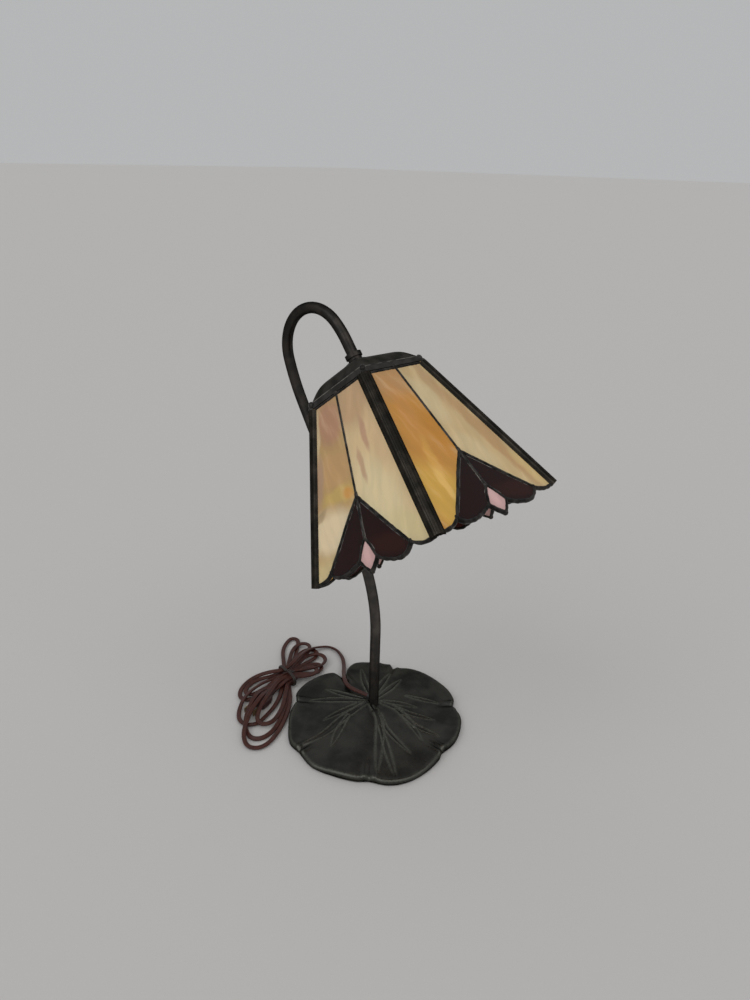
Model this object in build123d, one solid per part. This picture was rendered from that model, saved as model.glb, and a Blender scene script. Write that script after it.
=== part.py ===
from build123d import *
import math
import os

# Stained glass table lamp: a lily-pad foot, a swan-neck stem and a tilted four-sided
# shade of leaded petals. Millimetres. The origin is on the table under the stem,
# +X points the way the shade hangs, +Y is the lamp's left, +Z is up.

# ---------------------------------------------------------------- driving sizes

FELT_THICK = 1.5
LEAF_BOTTOM = FELT_THICK
LEAF_CROWN = 14.5            # top of the foot, at the middle of the leaf
LEAF_EDGE = 6.0              # height of the leaf at LEAF_REACH from its middle
LEAF_REACH = 108.0
LEAF_MIDDLE = (12.0, -12.0)
VEIN_PROUD = 1.1
POCKET_R = 17.0
POCKET_TOP = 8.0

TUBE_R = 6.0
TUBE_WALL = 1.2
STEM_BOTTOM = 2.6
STEM_HEIGHT = 112.5          # where the upright stem starts to lean back
LEAN_ARC = (197.5, 31.2)     # radius and turn of each bend, in order up the neck
LEAN_RUN = 173.2
ARCH_ARCS = [(236.0, 12.3), (46.0, 147.7), (96.5, 13.9)]
NECK_TAIL = 21.8

CORD_WIDTH = 5.3
CORD_HOLE_Z = 19.5

FACE_ANGLE = 16.5            # slope of a shade face, from the shade's axis
CAP_BELOW_NECK = 28.8        # shade origin (cap's lower edge) below the neck's end
SHADE_ROLL = -1.95           # how far out of true the shade hangs, about its own x axis
SHADE_YAW = 0.75             # and about its own z axis, in degrees
TOP_HALF = 44.0              # half side of the glass at the cap's lower edge
GLASS_THICK = 3.0
CAME_WIDTH = 3.0
CAME_HEART = 1.0
CAME_PROUD = 0.6
CAME_TOP = 1.8               # middle of the strip under the cap, down the slope
RIB_HALF_WIDTH = 7.0
RIB_CREST = 2.0
RIB_SHOULDER = -3.4
REEDS = 5
REED_RISE = 0.55
RIB_BOTTOM = 180.0

CAP_WALL = 1.0
SHELL_R = 17.0
SWITCH_Z = -9.5
SHAFT_R = 1.5
BULB_BASE_R = 12.9

SLOPE = math.radians(FACE_ANGLE)
HALF_CORNER = (math.pi - math.acos(math.sin(SLOPE) ** 2)) / 2   # half the angle of a corner
RIB_COVER = RIB_HALF_WIDTH / math.sin(HALF_CORNER)              # of a face, under its rib

FACES = {"front": 0, "left": 90, "back": 180, "right": 270}
CORNERS = {"front_left": 0, "back_left": 90, "back_right": 180, "front_right": 270}

# Leaf outline: one spline for each scallop, from notch to notch, starting at the
# deep cut at the back and going round by the lamp's right side.
LEAF_LOBES = [
    [(-58, 10), (-71, 11), (-85, 9), (-92, -3), (-94, -23), (-88, -45), (-75, -57)],
    [(-75, -57), (-68, -72), (-51.5, -91), (-29.5, -109), (-10.5, -112)],
    [(-10.5, -112), (16.5, -117), (44.5, -109), (64.5, -99), (75.5, -89)],
    [(75.5, -89), (94.5, -78), (106.5, -60), (111.5, -36), (110.5, -12), (106.5, -1)],
    [(106.5, -1), (106.5, 22), (98.5, 44), (84.5, 63), (67.5, 70)],
    [(67.5, 70), (59.5, 82), (38.5, 93), (6.5, 96), (-19.5, 91), (-34.5, 76)],
    [(-34.5, 76), (-44.5, 78), (-58.5, 68)],
    [(-58.5, 68), (-72.5, 58), (-78.5, 47), (-73.5, 30), (-58, 10)],
]

# Veins: root, tip and root width of each raised ridge of the leaf.
LEAF_VEINS = [
    ((-6, -8), (-12, -101), 4.0),
    ((-4, -40), (13, -82), 3.0),
    ((-12, -8), (-21, -62), 3.2),
    ((-12, -2), (-58, -44), 3.4),
    ((-14, 0), (-60, -18), 3.2),
    ((6, -8), (76, -78), 4.2),
    ((34, -36), (94, -66), 3.2),
    ((10, -2), (82, -30), 3.6),
    ((12, 4), (58, 2), 4.0),
    ((56, 2), (80, -8), 2.6),
    ((56, 2), (88, 12), 2.6),
    ((34, 14), (68, 28), 3.0),
    ((10, 10), (42, 28), 3.2),
    ((22, 38), (52, 54), 2.8),
    ((2, 12), (-6, 57), 3.4),
    ((-8, 12), (-28, 57), 3.2),
    ((-14, 10), (-58, 40), 3.0),
]

# Free cord: the points of its route from the bushing to the tied hank.
CORD_ROUTE = [
    (-7.6, 0.0, 19.5), (-24.0, -2.5, 18.2), (-41.0, -3.0, 17.2), (-56.0, 6.0, 15.6),
    (-71.0, 20.5, 9.0), (-86.0, 36.5, 4.0), (-101.0, 49.0, 2.9), (-118.0, 55.5, 2.9),
    (-132.0, 53.5, 2.9), (-140.0, 41.0, 3.2), (-140.0, 27.0, 4.6),
]

# Tied hank: outline of the whole bow, anticlockwise from the tie's back edge.
HANK_OUTLINE = [
    (-133, -33), (-146, -44), (-152, -62), (-147, -84), (-132, -103), (-120, -113),
    (-106, -127), (-86, -132), (-74, -146), (-58, -150), (-47, -142), (-49, -124),
    (-63, -101), (-74, -80), (-90, -62), (-102, -44), (-105, -34), (-99, -26),
    (-98, -8), (-100, 8), (-108, 22), (-120, 30), (-136, 28), (-150, 33),
    (-163, 27), (-182, 33), (-181, 20), (-170, 0), (-152, -16), (-137, -27),
]
HANK_HEIGHT = 15.0
TIE_AT = (-118.5, -33.5)
TIE_ANGLE = -10.0            # direction of the tie's long side, from +X
TIE_INNER = (33.0, 6.0)
PLUG_AT = (-106.0, -84.0)
PLUG_ANGLE = 282.0           # direction the blades point in, from +X


# ------------------------------------------------------------------------ foot

def leaf_face():
    edges = [Spline(*lobe) for lobe in LEAF_LOBES]
    return make_face(Curve() + edges)


def crown(raise_by):
    """Ball whose top is the leaf's domed surface, lifted by raise_by."""
    drop = LEAF_CROWN - LEAF_EDGE
    ball_r = (LEAF_REACH ** 2 + drop ** 2) / (2 * drop)
    centre = Pos(*LEAF_MIDDLE, LEAF_CROWN - ball_r)
    return centre * Sphere(ball_r + raise_by)


def vein_face(root, tip, width):
    tip_half = 0.5
    along = Vector(tip[0] - root[0], tip[1] - root[1]).normalized()
    side = Vector(-along.Y, along.X)
    start, end = Vector(*root), Vector(*tip)
    corners = [
        start + side * width / 2,
        end + side * tip_half,
        end - side * tip_half,
        start - side * width / 2,
    ]
    return make_face(Polyline(*corners, close=True))


def leaf_base():
    blank = extrude(Pos(0, 0, LEAF_BOTTOM) * leaf_face(), 20)
    leaf = blank & crown(0)
    ridges = Part()
    for root, tip, width in LEAF_VEINS:
        strip = extrude(Pos(0, 0, LEAF_EDGE - 2) * vein_face(root, tip, width), 20)
        ridges += strip & crown(VEIN_PROUD)
    leaf = leaf + ridges
    pocket = Pos(0, 0, LEAF_BOTTOM) * Cylinder(
        POCKET_R, POCKET_TOP - LEAF_BOTTOM, align=(Align.CENTER, Align.CENTER, Align.MIN))
    stem_hole = Cylinder(TUBE_R + 0.1, 60)
    return leaf - pocket - stem_hole


def felt_pad():
    """The leaf's outline, drawn in a little, as a thin sheet on the table."""
    inset = 0.93
    face = Pos(*LEAF_MIDDLE) * scale(Pos(-LEAF_MIDDLE[0], -LEAF_MIDDLE[1]) * leaf_face(), inset)
    return extrude(face, FELT_THICK)


def ring(outer_r, inner_r, low, high):
    height = high - low
    bottom = (Align.CENTER, Align.CENTER, Align.MIN)
    body = Cylinder(outer_r, height, align=bottom) - Cylinder(inner_r, height, align=bottom)
    return Pos(0, 0, low) * body


def hex_nut(across_flats, bore_r, low, high):
    outline = RegularPolygon(across_flats / 2, 6, major_radius=False)
    blank = extrude(Pos(0, 0, low) * outline, high - low)
    return blank - Pos(0, 0, low) * Cylinder(bore_r, 2 * (high - low))


# ------------------------------------------------------------------------ neck

def neck_line(start_z, end_cut):
    """Centre line of the neck in the XZ plane, from start_z to end_cut short of its end."""
    lean_r, lean_turn = LEAN_ARC
    pieces = [Line((0, start_z), (0, STEM_HEIGHT))]
    pieces.append(JernArc(pieces[-1] @ 1, pieces[-1] % 1, lean_r, lean_turn))
    pieces.append(Line(pieces[-1] @ 1, pieces[-1] @ 1 + (pieces[-1] % 1) * LEAN_RUN))
    for radius, turn in ARCH_ARCS:
        pieces.append(JernArc(pieces[-1] @ 1, pieces[-1] % 1, radius, -turn))
    tail = (pieces[-1] % 1) * (NECK_TAIL - end_cut)
    pieces.append(Line(pieces[-1] @ 1, pieces[-1] @ 1 + tail))
    return Plane.XZ * Wire([edge for piece in pieces for edge in piece.edges()])


def along(path, face):
    """Sweep a flat section, drawn about the origin, along a path."""
    return sweep(Plane(path @ 0, z_dir=path % 0) * face, path=path)


def neck_tube():
    tube = along(neck_line(STEM_BOTTOM, 0), Circle(TUBE_R) - Circle(TUBE_R - TUBE_WALL))
    side_hole = Pos(-TUBE_R, 0, CORD_HOLE_Z) * Rot(0, 90, 0) * Cylinder(3.4, TUBE_R)
    return tube - side_hole


def cord_bushing():
    outward = Pos(0, 0, CORD_HOLE_Z) * Rot(0, -90, 0)
    flange = outward * ring(4.6, 2.75, 3.6, 7.6) - Cylinder(TUBE_R, 80)
    sleeve = outward * ring(3.3, 2.75, 5.0, 7.6)
    return flange + sleeve


def inner_cord():
    """The cord inside the stem: in at the bushing, up the neck, out at its end."""
    bend = 3.6
    radius = CORD_WIDTH / 2 - 0.05
    inlet = Line((-7.2, CORD_HOLE_Z), (-bend, CORD_HOLE_Z))
    corner = JernArc(inlet @ 1, inlet % 1, bend, 90)
    turn = Plane.XZ * Wire([inlet.edge(), corner.edge()])
    rise = neck_line(CORD_HOLE_Z + bend, 0)
    down = neck_end()
    tail_face = down * Circle(radius)
    return along(turn, Circle(radius)) + along(rise, Circle(radius)) + extrude(tail_face, 13)


def neck_end():
    """Plane across the neck's open end, its z axis pointing out of the tube."""
    path = neck_line(STEM_BOTTOM, 0)
    return Plane(path @ 1, x_dir=(0, 1, 0), z_dir=path % 1)


def hanging_frame():
    """Frame at the neck's end: z axis back up the neck, x axis the way the shade faces."""
    end = neck_end()
    up = end.z_dir * -1
    return Plane(end.origin, x_dir=Vector(0, 1, 0).cross(up), z_dir=up).location


def shade_frame():
    """The shade's own frame: origin at the cap's lower edge, z axis up to the neck,
    x axis towards the shade's front face."""
    hung = Rot(SHADE_ROLL, 0, SHADE_YAW) * Pos(0, 0, -CAP_BELOW_NECK)
    return hanging_frame() * hung


# ------------------------------------------------------------------------- cap

# Profile of the pressed square cap, as half side and height: a skirt that follows the
# slope of the glass, a narrow ledge, then the dome.
CAP_SKIRT = [(45.0, 0.0), (43.2, 6.0), (41.2, 6.8)]
CAP_DOME = [(41.2, 6.8), (37.2, 12.0), (31.0, 18.2), (20.6, 22.6), (6.0, 28.5)]
CAP_TOP = CAP_DOME[-1][1]
CAP_HOLE_R = 5.0


def cap_block(shrink, lower):
    """Solid square cap, drawn in by shrink: two crossed extrusions of its profile."""
    skirt = [(half - shrink, height - shrink) for half, height in CAP_SKIRT[1:]]
    dome = [(half - shrink, height - shrink) for half, height in CAP_DOME]
    half_foot = CAP_SKIRT[0][0] - shrink
    right = [(half_foot, -lower), (half_foot, 0), *skirt]
    top_half, top = dome[-1]
    outline = Curve() + [
        Polyline(*right),
        Spline(*dome),
        Line((top_half, top), (-top_half, top)),
        Spline(*[(-half, height) for half, height in reversed(dome)]),
        Polyline(*[(-half, height) for half, height in reversed(right)]),
        Line((-half_foot, -lower), (half_foot, -lower)),
    ]
    first = extrude(Plane.XZ * make_face(outline), 60, both=True)
    return first & Rot(0, 0, 90) * first


def whole_cap():
    return cap_block(0, 0.001)


def shade_cap():
    shell = whole_cap() - cap_block(CAP_WALL, 2)
    return shell - Pos(0, 0, CAP_TOP) * Cylinder(CAP_HOLE_R, 10)


def neck_collar():
    """Stepped collar on the neck's end, in line with the neck and seated on the cap."""
    low, step, high = -2.8, 2.4, 6.9
    bore_r = TUBE_R + 0.02
    rings = ring(7.4, bore_r, low, step) + ring(8.9, bore_r, step, high)
    return hanging_frame() * rings - shade_frame() * whole_cap()


# ----------------------------------------------------------------------- panels

def face_frame(turn):
    """Plane on the outside of one shade face, x across it and y up its slope."""
    upright = Plane(
        (TOP_HALF, 0, 0), x_dir=(0, 1, 0), z_dir=(math.cos(SLOPE), 0, math.sin(SLOPE)))
    return shade_frame() * Rot(0, 0, turn) * upright.location


def down_slope(points, side=1):
    """Turn (across, down) points into face coordinates, mirrored when side is -1."""
    return [(side * across, -down) for across, down in points]


HEART = (0, 107)             # junction of the two large petals
BUD_TOP = (0, 148)
BUD_TIP = (0, 180)

# Edges of the pieces on the right (1) and left (-1) half of a face, as points across
# from its centre line and down the slope.
HALVES = {
    1: {
        "petal_edge": [HEART, (20, 128), (40, 149), (52, 161), (59, 168.5)],
        "petal_rim": [(59, 168.5), (67, 172), (76, 174), (88.5, 173)],
        "sepal_rim": [
            (59, 168.5), (53.5, 174.5), (47, 177.5), (40, 178), (30, 176), (20, 172.8),
            (12, 168.5)],
        "bud_shoulder": [BUD_TOP, (6.2, 157.5), (12, 168.5)],
        "bud_point": [(12, 168.5), (6.5, 174.6), BUD_TIP],
    },
    -1: {
        "petal_edge": [HEART, (20, 125.5), (40, 146), (52, 157.5), (60, 166)],
        "petal_rim": [(60, 166), (68, 170.3), (77, 172.2), (88.5, 172)],
        "sepal_rim": [
            (60, 166), (57, 170), (50, 173), (40, 173.8), (30, 172.3), (21, 169.6),
            (13.5, 167)],
        "bud_shoulder": [BUD_TOP, (7, 157), (13.5, 167)],
        "bud_point": [(13.5, 167), (7, 174), BUD_TIP],
    },
}


def edge_curve(side, name):
    return Spline(*down_slope(HALVES[side][name], side))


def side_at(down):
    """Distance of a face's corner from its centre line, down the slope."""
    return TOP_HALF + down * math.sin(SLOPE)


def petal_face(side):
    corner_inset = GLASS_THICK
    top = (side_at(0) - corner_inset, 0.5)
    low = HALVES[side]["petal_rim"][-1]
    corner = [top, (side_at(low[1]) - corner_inset, low[1])]
    edges = [
        Line(*down_slope([(0, 0.5), HEART], side)),
        edge_curve(side, "petal_edge"),
        edge_curve(side, "petal_rim"),
        Line(*down_slope([low, corner[1]], side)),
        Line(*down_slope([corner[1], top], side)),
        Line(*down_slope([top, (0, 0.5)], side)),
    ]
    edges = [edge for edge in edges if edge.length > 0.01]
    return make_face(Curve() + edges)


def sepal_face(side):
    edges = [
        edge_curve(side, "petal_edge"),
        edge_curve(side, "sepal_rim"),
        edge_curve(side, "bud_shoulder"),
        Line(*down_slope([BUD_TOP, HEART], side)),
    ]
    return make_face(Curve() + edges)


def bud_face():
    edges = []
    for side in (1, -1):
        edges.append(edge_curve(side, "bud_shoulder"))
        edges.append(edge_curve(side, "bud_point"))
    return make_face(Curve() + edges)


def came_lines():
    lines = [Line(*down_slope([(0, CAME_TOP), BUD_TOP]))]
    top_half = side_at(0) - RIB_COVER + 1
    lines.append(Line(*down_slope([(-top_half, CAME_TOP), (top_half, CAME_TOP)])))
    for side, half in HALVES.items():
        lines += [edge_curve(side, name) for name in half]
    return lines


def came_strips(width):
    """All the lead lines of a face as one flat shape, clear of the corner ribs."""
    strips = Sketch()
    for line in came_lines():
        strips += trace(line, width)
    joints = down_slope([HEART, BUD_TOP, BUD_TIP])
    for side, half in HALVES.items():
        joints += down_slope([half["petal_rim"][0], half["bud_point"][0]], side)
    for joint in joints:
        strips += Pos(*joint) * Circle(width / 2)
    top, low = side_at(-5) - RIB_COVER - 0.1, side_at(190) - RIB_COVER - 0.1
    between_ribs = make_face(Polyline(*down_slope(
        [(-top, -5), (top, -5), (low, 190), (-low, 190)]), close=True))
    return strips & between_ribs


def panel_parts():
    """Glass pieces and lead lattice of one face, flat in the face's own frame."""
    web = came_strips(CAME_HEART)
    flange = came_strips(CAME_WIDTH)
    faces = {"bud": bud_face()}
    for name, side in (("right", 1), ("left", -1)):
        faces["petal_" + name] = petal_face(side)
        faces["sepal_" + name] = sepal_face(side)
    parts = {name: extrude(face - web, -GLASS_THICK) for name, face in faces.items()}
    lattice = extrude(web, -GLASS_THICK) + extrude(flange, CAME_PROUD)
    lattice += extrude(Pos(0, 0, -GLASS_THICK) * flange, -CAME_PROUD)
    parts["lead"] = lattice
    return parts


def rib():
    """Reeded brass corner strip over the join of two faces, in the shade's frame."""
    corner = Vector(math.sin(SLOPE), math.sin(SLOPE), -math.cos(SLOPE)).normalized()
    outward = Vector(1, 1, 0).normalized()
    outward = (outward - corner * outward.dot(corner)).normalized()
    section = Plane((TOP_HALF, TOP_HALF, 0), x_dir=outward, z_dir=corner)
    core = 2.8
    edge_p, edge_q = -core * math.cos(HALF_CORNER), core * math.sin(HALF_CORNER)
    wing_p = -RIB_HALF_WIDTH / math.tan(HALF_CORNER)
    crest = []
    for step in range(REEDS + 1):
        across = RIB_HALF_WIDTH * (1 - 2 * step / REEDS)
        drop = (RIB_CREST - RIB_SHOULDER) * (across / RIB_HALF_WIDTH) ** 2
        crest.append(Vector(RIB_CREST - drop, across))
    inner = [(wing_p, -RIB_HALF_WIDTH), (0, 0), (edge_p, -edge_q), (-core * 1.42, 0),
             (edge_p, edge_q), (0, 0), (wing_p, RIB_HALF_WIDTH)]
    outer_edges = [Line((wing_p, RIB_HALF_WIDTH), crest[0])]
    for start, end in zip(crest, crest[1:]):
        chord = (end - start).normalized()
        bulge = Vector(-chord.Y, chord.X) * -REED_RISE
        middle = (start + end) * 0.5
        if (middle + bulge).X < middle.X:
            bulge = bulge * -1
        outer_edges.append(ThreePointArc(start, middle + bulge, end))
    outer_edges.append(Line(crest[-1], (wing_p, -RIB_HALF_WIDTH)))
    cover = make_face(Curve() + outer_edges + [
        Line((wing_p, -RIB_HALF_WIDTH), (0, 0)), Line((0, 0), (wing_p, RIB_HALF_WIDTH))])
    key = make_face(Polyline((0.3, 0), inner[2], inner[3], inner[4], close=True))
    strip = extrude(section * (cover + key), RIB_BOTTOM)
    above = Pos(0, 0, 50) * Box(400, 400, 100.6)
    return strip - above


def solder_joint():
    bead = Cylinder(3.3, 1.2, align=(Align.CENTER, Align.CENTER, Align.MIN))
    bead = fillet(bead.edges().group_by(Axis.Z)[-1], 0.9)
    return Pos(HEART[0], -HEART[1], CAME_PROUD) * bead


# ------------------------------------------------------------- socket and bulb

def turned(points):
    """Solid of revolution about the shade's axis from (radius, height) points."""
    face = make_face(Polyline(*points, close=True))
    return revolve(Plane.XZ * face, Axis.Z)


def socket_cap():
    return turned([
        (4.75, 19.5), (7.5, 19.5), (7.5, 13.5), (11, 12.2), (15, 9.2), (17.8, 5), (17.8, -1),
        (17.05, -1), (17.05, 5), (14.4, 8.6), (10.6, 11.3), (7, 12.4), (4.75, 12.4)])


def switch_bore(radius):
    return Pos(-12, 0, SWITCH_Z) * Rot(0, 90, 0) * Cylinder(radius, 30)


def switch_shaft():
    return Pos(-12.5, 0, SWITCH_Z) * Rot(0, 90, 0) * Cylinder(SHAFT_R, 19)


def switch_knob():
    """Turn knob with eight grip flutes, on the end of the switch shaft."""
    knob_r, length = 5.2, 9.5
    body = Cylinder(knob_r, length, align=(Align.CENTER, Align.CENTER, Align.MIN))
    body = fillet(body.edges().group_by(Axis.Z)[-1], 1.0)
    for step in range(8):
        body -= Rot(0, 0, 45 * step) * Pos(knob_r + 0.4, 0, 0) * Cylinder(1.1, 3 * length)
    body -= Cylinder(SHAFT_R, 8)
    return Pos(-18, 0, SWITCH_Z) * Rot(0, -90, 0) * body


def socket_body():
    block = Pos(0, 0, SWITCH_Z) * Cylinder(15.0, 11)
    return block - switch_bore(SHAFT_R + 0.1)


def socket_terminals():
    screw = Pos(0, 0, -4) * Cylinder(3.0, 2.4, align=(Align.CENTER, Align.CENTER, Align.MIN))
    slot = Pos(0, 0, -1.6) * Box(7, 0.8, 1.6)
    screw = screw - slot
    return Pos(0, 9, 0) * screw + Pos(0, -9, 0) * screw


def bulb_base():
    r = BULB_BASE_R
    return turned([
        (4.4, -17.6), (8.5, -18.2), (11.4, -20), (r, -21), (r, -38), (13.6, -39), (13.6, -42),
        (13.2, -42), (13.2, -39.4), (r - 0.4, -38.4), (r - 0.4, -21.4), (11, -20.6),
        (8.3, -18.9), (4.4, -18.3)])


def bulb_glass():
    wall = 0.8
    outer = [(13.1, -39.6), (13.6, -47), (17.5, -59), (26, -76), (30, -93), (26, -110),
             (14, -119.6), (0, -122)]
    inner = [(radius - wall, height) for radius, height in outer[:5]]
    inner += [(26 - wall, -109.6), (14 - wall / 2, -118.6), (0, -121.2)]
    skin = Curve() + [
        Spline(*outer),
        Line(outer[-1], inner[-1]),
        Spline(*reversed(inner)),
        Line(inner[0], outer[0]),
    ]
    return revolve(Plane.XZ * make_face(skin), Axis.Z)


def socket_and_bulb():
    return {
        "cap_nipple": ring(4.7, 3.5, 14.0, 31.0),
        "cap_washer": ring(8.0, 5.0, 24.0, 25.1),
        "cap_locknut": hex_nut(15.0, 4.75, 20.0, 24.0),
        "socket_cap": socket_cap(),
        "socket_shell": ring(SHELL_R, SHELL_R - 0.6, -37, 3.5) - switch_bore(2.4),
        "socket_liner": ring(16.3, 15.1, -36, -3.5) - switch_bore(2.2),
        "socket_body": socket_body(),
        "socket_terminals": socket_terminals(),
        "socket_screw_shell": ring(13.9, 13.4, -35, -15),
        "socket_contact": Pos(0, 0, -15.7) * Cylinder(3.2, 1.4),
        "switch_shaft": switch_shaft(),
        "switch_knob": switch_knob(),
        "bulb_screw_base": bulb_base(),
        "bulb_foot_contact": Pos(0, 0, -17.1) * Cylinder(4.2, 1.0),
        "bulb_glass": bulb_glass(),
    }


# ------------------------------------------------------------------------- cord

def cord_radii(route):
    """Bend radius at each inner point: as large as its two runs allow."""
    radii = []
    points = [Vector(*point) for point in route]
    for before, point, after in zip(points, points[1:], points[2:]):
        first, second = point - before, after - point
        turn = math.radians(first.get_angle(second))
        radii.append(0.45 * min(first.length, second.length) / math.tan(turn / 2))
    return radii


def cord_lead():
    radii = cord_radii(CORD_ROUTE)
    path = FilletPolyline(*CORD_ROUTE, radius=radii)
    return along(Wire(path.edges()), Circle(CORD_WIDTH / 2))


def cord_hank():
    """Outer shape of the tied bow of cord, with room for its tie and the plug in it."""
    face = make_face(Spline(*HANK_OUTLINE, periodic=True))
    bow = extrude(Pos(0, 0, 0.2) * face, HANK_HEIGHT)
    plug_room = Pos(0, 0, 5) * Box(22.4, 20.4, 14) + Pos(19, 0, 5) * Box(17, 15, 8)
    return bow - tie_frame() * tie_band() - plug_frame() * plug_room


def tie_frame():
    return Pos(*TIE_AT, HANK_HEIGHT / 2 + 0.2) * Rot(0, 0, TIE_ANGLE)


def tie_band():
    length, width = TIE_INNER
    outer = Box(length + 2.4, width, HANK_HEIGHT + 0.3)
    return outer - Box(length, 2 * width, HANK_HEIGHT - 1.4)


def cord_tie():
    return tie_frame() * tie_band()


def plug_frame():
    return Pos(*PLUG_AT, 0.4) * Rot(0, 0, PLUG_ANGLE)


def plug_body():
    lift = (Align.CENTER, Align.CENTER, Align.MIN)
    body = Box(22, 20, 11, align=lift)
    body = fillet(body.edges().filter_by(Axis.Z), 4)
    return plug_frame() * body


def plug_blades():
    blade = Pos(11 + 8, 0, 5.5) * Box(16, 1.5, 6.3)
    return plug_frame() * (Pos(0, 6.35, 0) * blade + Pos(0, -6.35, 0) * blade)


# --------------------------------------------------------------------- assembly

def all_parts():
    parts = {
        "leaf_base": leaf_base(),
        "felt_pad": felt_pad(),
        "base_washer": ring(12.0, TUBE_R + 0.1, 6.9, POCKET_TOP),
        "base_locknut": hex_nut(17.0, TUBE_R + 0.02, 3.0, 6.9),
        "neck_tube": neck_tube(),
        "cord_bushing": cord_bushing(),
        "inner_cord": inner_cord(),
    }
    frame = shade_frame()
    parts["shade_cap"] = frame * shade_cap()
    parts["neck_collar"] = neck_collar()
    for name, solid in socket_and_bulb().items():
        parts[name] = frame * solid

    corner_rib = rib()
    for name, turn in CORNERS.items():
        parts["rib_" + name] = frame * Rot(0, 0, turn) * corner_rib
    panel = panel_parts()
    joints = []
    for face_name, turn in FACES.items():
        place = face_frame(turn)
        for piece, solid in panel.items():
            parts[face_name + "_" + piece] = place * solid
        joints.append(place * solder_joint())
    parts["solder_joints"] = Compound(children=joints)

    parts["cord_lead"] = cord_lead()
    parts["cord_hank"] = cord_hank()
    parts["cord_tie"] = cord_tie()
    parts["plug_body"] = plug_body()
    parts["plug_blades"] = plug_blades()
    return parts


os.makedirs("parts", exist_ok=True)
for node, shape in all_parts().items():
    export_step(shape, os.path.join("parts", node + ".step"))
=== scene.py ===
import math
import random

import bpy
import numpy as np
from mathutils import Matrix, Vector


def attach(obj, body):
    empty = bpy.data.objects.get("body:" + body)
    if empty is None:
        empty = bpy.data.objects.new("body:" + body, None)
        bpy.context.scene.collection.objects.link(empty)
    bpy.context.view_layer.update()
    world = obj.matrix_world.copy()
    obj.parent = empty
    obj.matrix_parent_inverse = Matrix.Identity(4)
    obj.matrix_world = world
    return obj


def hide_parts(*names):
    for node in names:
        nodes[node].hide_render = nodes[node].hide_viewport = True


# Looks of the stained glass table lamp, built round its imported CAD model. Sizes in the
# tables below are millimetres, in the row frame: +X is the way the shade hangs, +Z is up.

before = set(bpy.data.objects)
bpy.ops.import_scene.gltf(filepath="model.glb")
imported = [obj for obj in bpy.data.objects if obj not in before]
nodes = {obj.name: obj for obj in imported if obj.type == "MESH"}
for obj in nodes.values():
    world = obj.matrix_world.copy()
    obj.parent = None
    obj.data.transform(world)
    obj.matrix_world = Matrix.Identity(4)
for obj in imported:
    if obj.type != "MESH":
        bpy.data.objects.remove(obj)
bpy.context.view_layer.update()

MM = 0.001


# ------------------------------------------------------------------ camera and stage

CAMERA_AT = Vector((490.2, -551.4, 612.3)) * MM
CAMERA_RIGHT = Vector((0.7356, 0.6770, 0.0242)).normalized()
CAMERA_AHEAD = Vector((-0.6105, 0.6781, -0.4092)).normalized()
CAMERA_LENS = 27.36
SENSOR = 36.0

SOFT_SUN_ANGLE = math.radians(50)
STUDIO_COLOUR, STUDIO_STRENGTH = (0.93, 0.94, 0.95, 1.0), 0.5
FLOOR_HALF = 40.0  # metres


def add_camera():
    up = CAMERA_RIGHT.cross(CAMERA_AHEAD).normalized()
    right = CAMERA_AHEAD.cross(up)
    turn = Matrix((right, up, -CAMERA_AHEAD)).transposed()
    data = bpy.data.cameras.new("camera")
    data.lens = CAMERA_LENS
    data.sensor_width = SENSOR
    data.clip_start = 0.01
    camera = bpy.data.objects.new("camera", data)
    camera.matrix_world = Matrix.Translation(CAMERA_AT) @ turn.to_4x4()
    bpy.context.scene.collection.objects.link(camera)
    bpy.context.scene.camera = camera


def add_soft_sun(name, from_direction, strength, colour):
    """A very wide distant light, as soft as a bank of studio lamps."""
    data = bpy.data.lights.new(name, "SUN")
    data.angle = SOFT_SUN_ANGLE
    data.energy = strength
    data.color = colour
    light = bpy.data.objects.new(name, data)
    light.rotation_euler = Vector(from_direction).to_track_quat("Z", "Y").to_euler()
    bpy.context.scene.collection.objects.link(light)


def add_stage():
    scene = bpy.context.scene
    world = bpy.data.worlds.new("studio")
    world.use_nodes = True
    background = world.node_tree.nodes["Background"]
    background.inputs["Color"].default_value = STUDIO_COLOUR
    background.inputs["Strength"].default_value = STUDIO_STRENGTH
    scene.world = world
    scene.view_settings.view_transform = "Standard"
    scene.view_settings.look = "None"

    corners = [(FLOOR_HALF * a, FLOOR_HALF * b, 0) for a, b in ((-1, -1), (1, -1), (1, 1), (-1, 1))]
    mesh = bpy.data.meshes.new("floor")
    mesh.from_pydata(corners, [], [(0, 1, 2, 3)])
    floor = bpy.data.objects.new("floor", mesh)
    scene.collection.objects.link(floor)
    paper = Shader("floor_paper", colour=srgb(203, 201, 199), roughness=0.85)
    floor.data.materials.append(paper.material)

    add_soft_sun("key", (0.55, -0.05, 0.83), 0.5, (1.0, 0.985, 0.96))
    add_soft_sun("fill", (-0.05, -0.75, 0.66), 0.65, (0.98, 0.99, 1.0))


# ----------------------------------------------------------------------- shader tools

def srgb(red, green, blue):
    """Linear colour of an 8-bit sRGB one."""
    def linear(level):
        share = level / 255
        return share / 12.92 if share <= 0.04045 else ((share + 0.055) / 1.055) ** 2.4
    return (linear(red), linear(green), linear(blue), 1.0)


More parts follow.
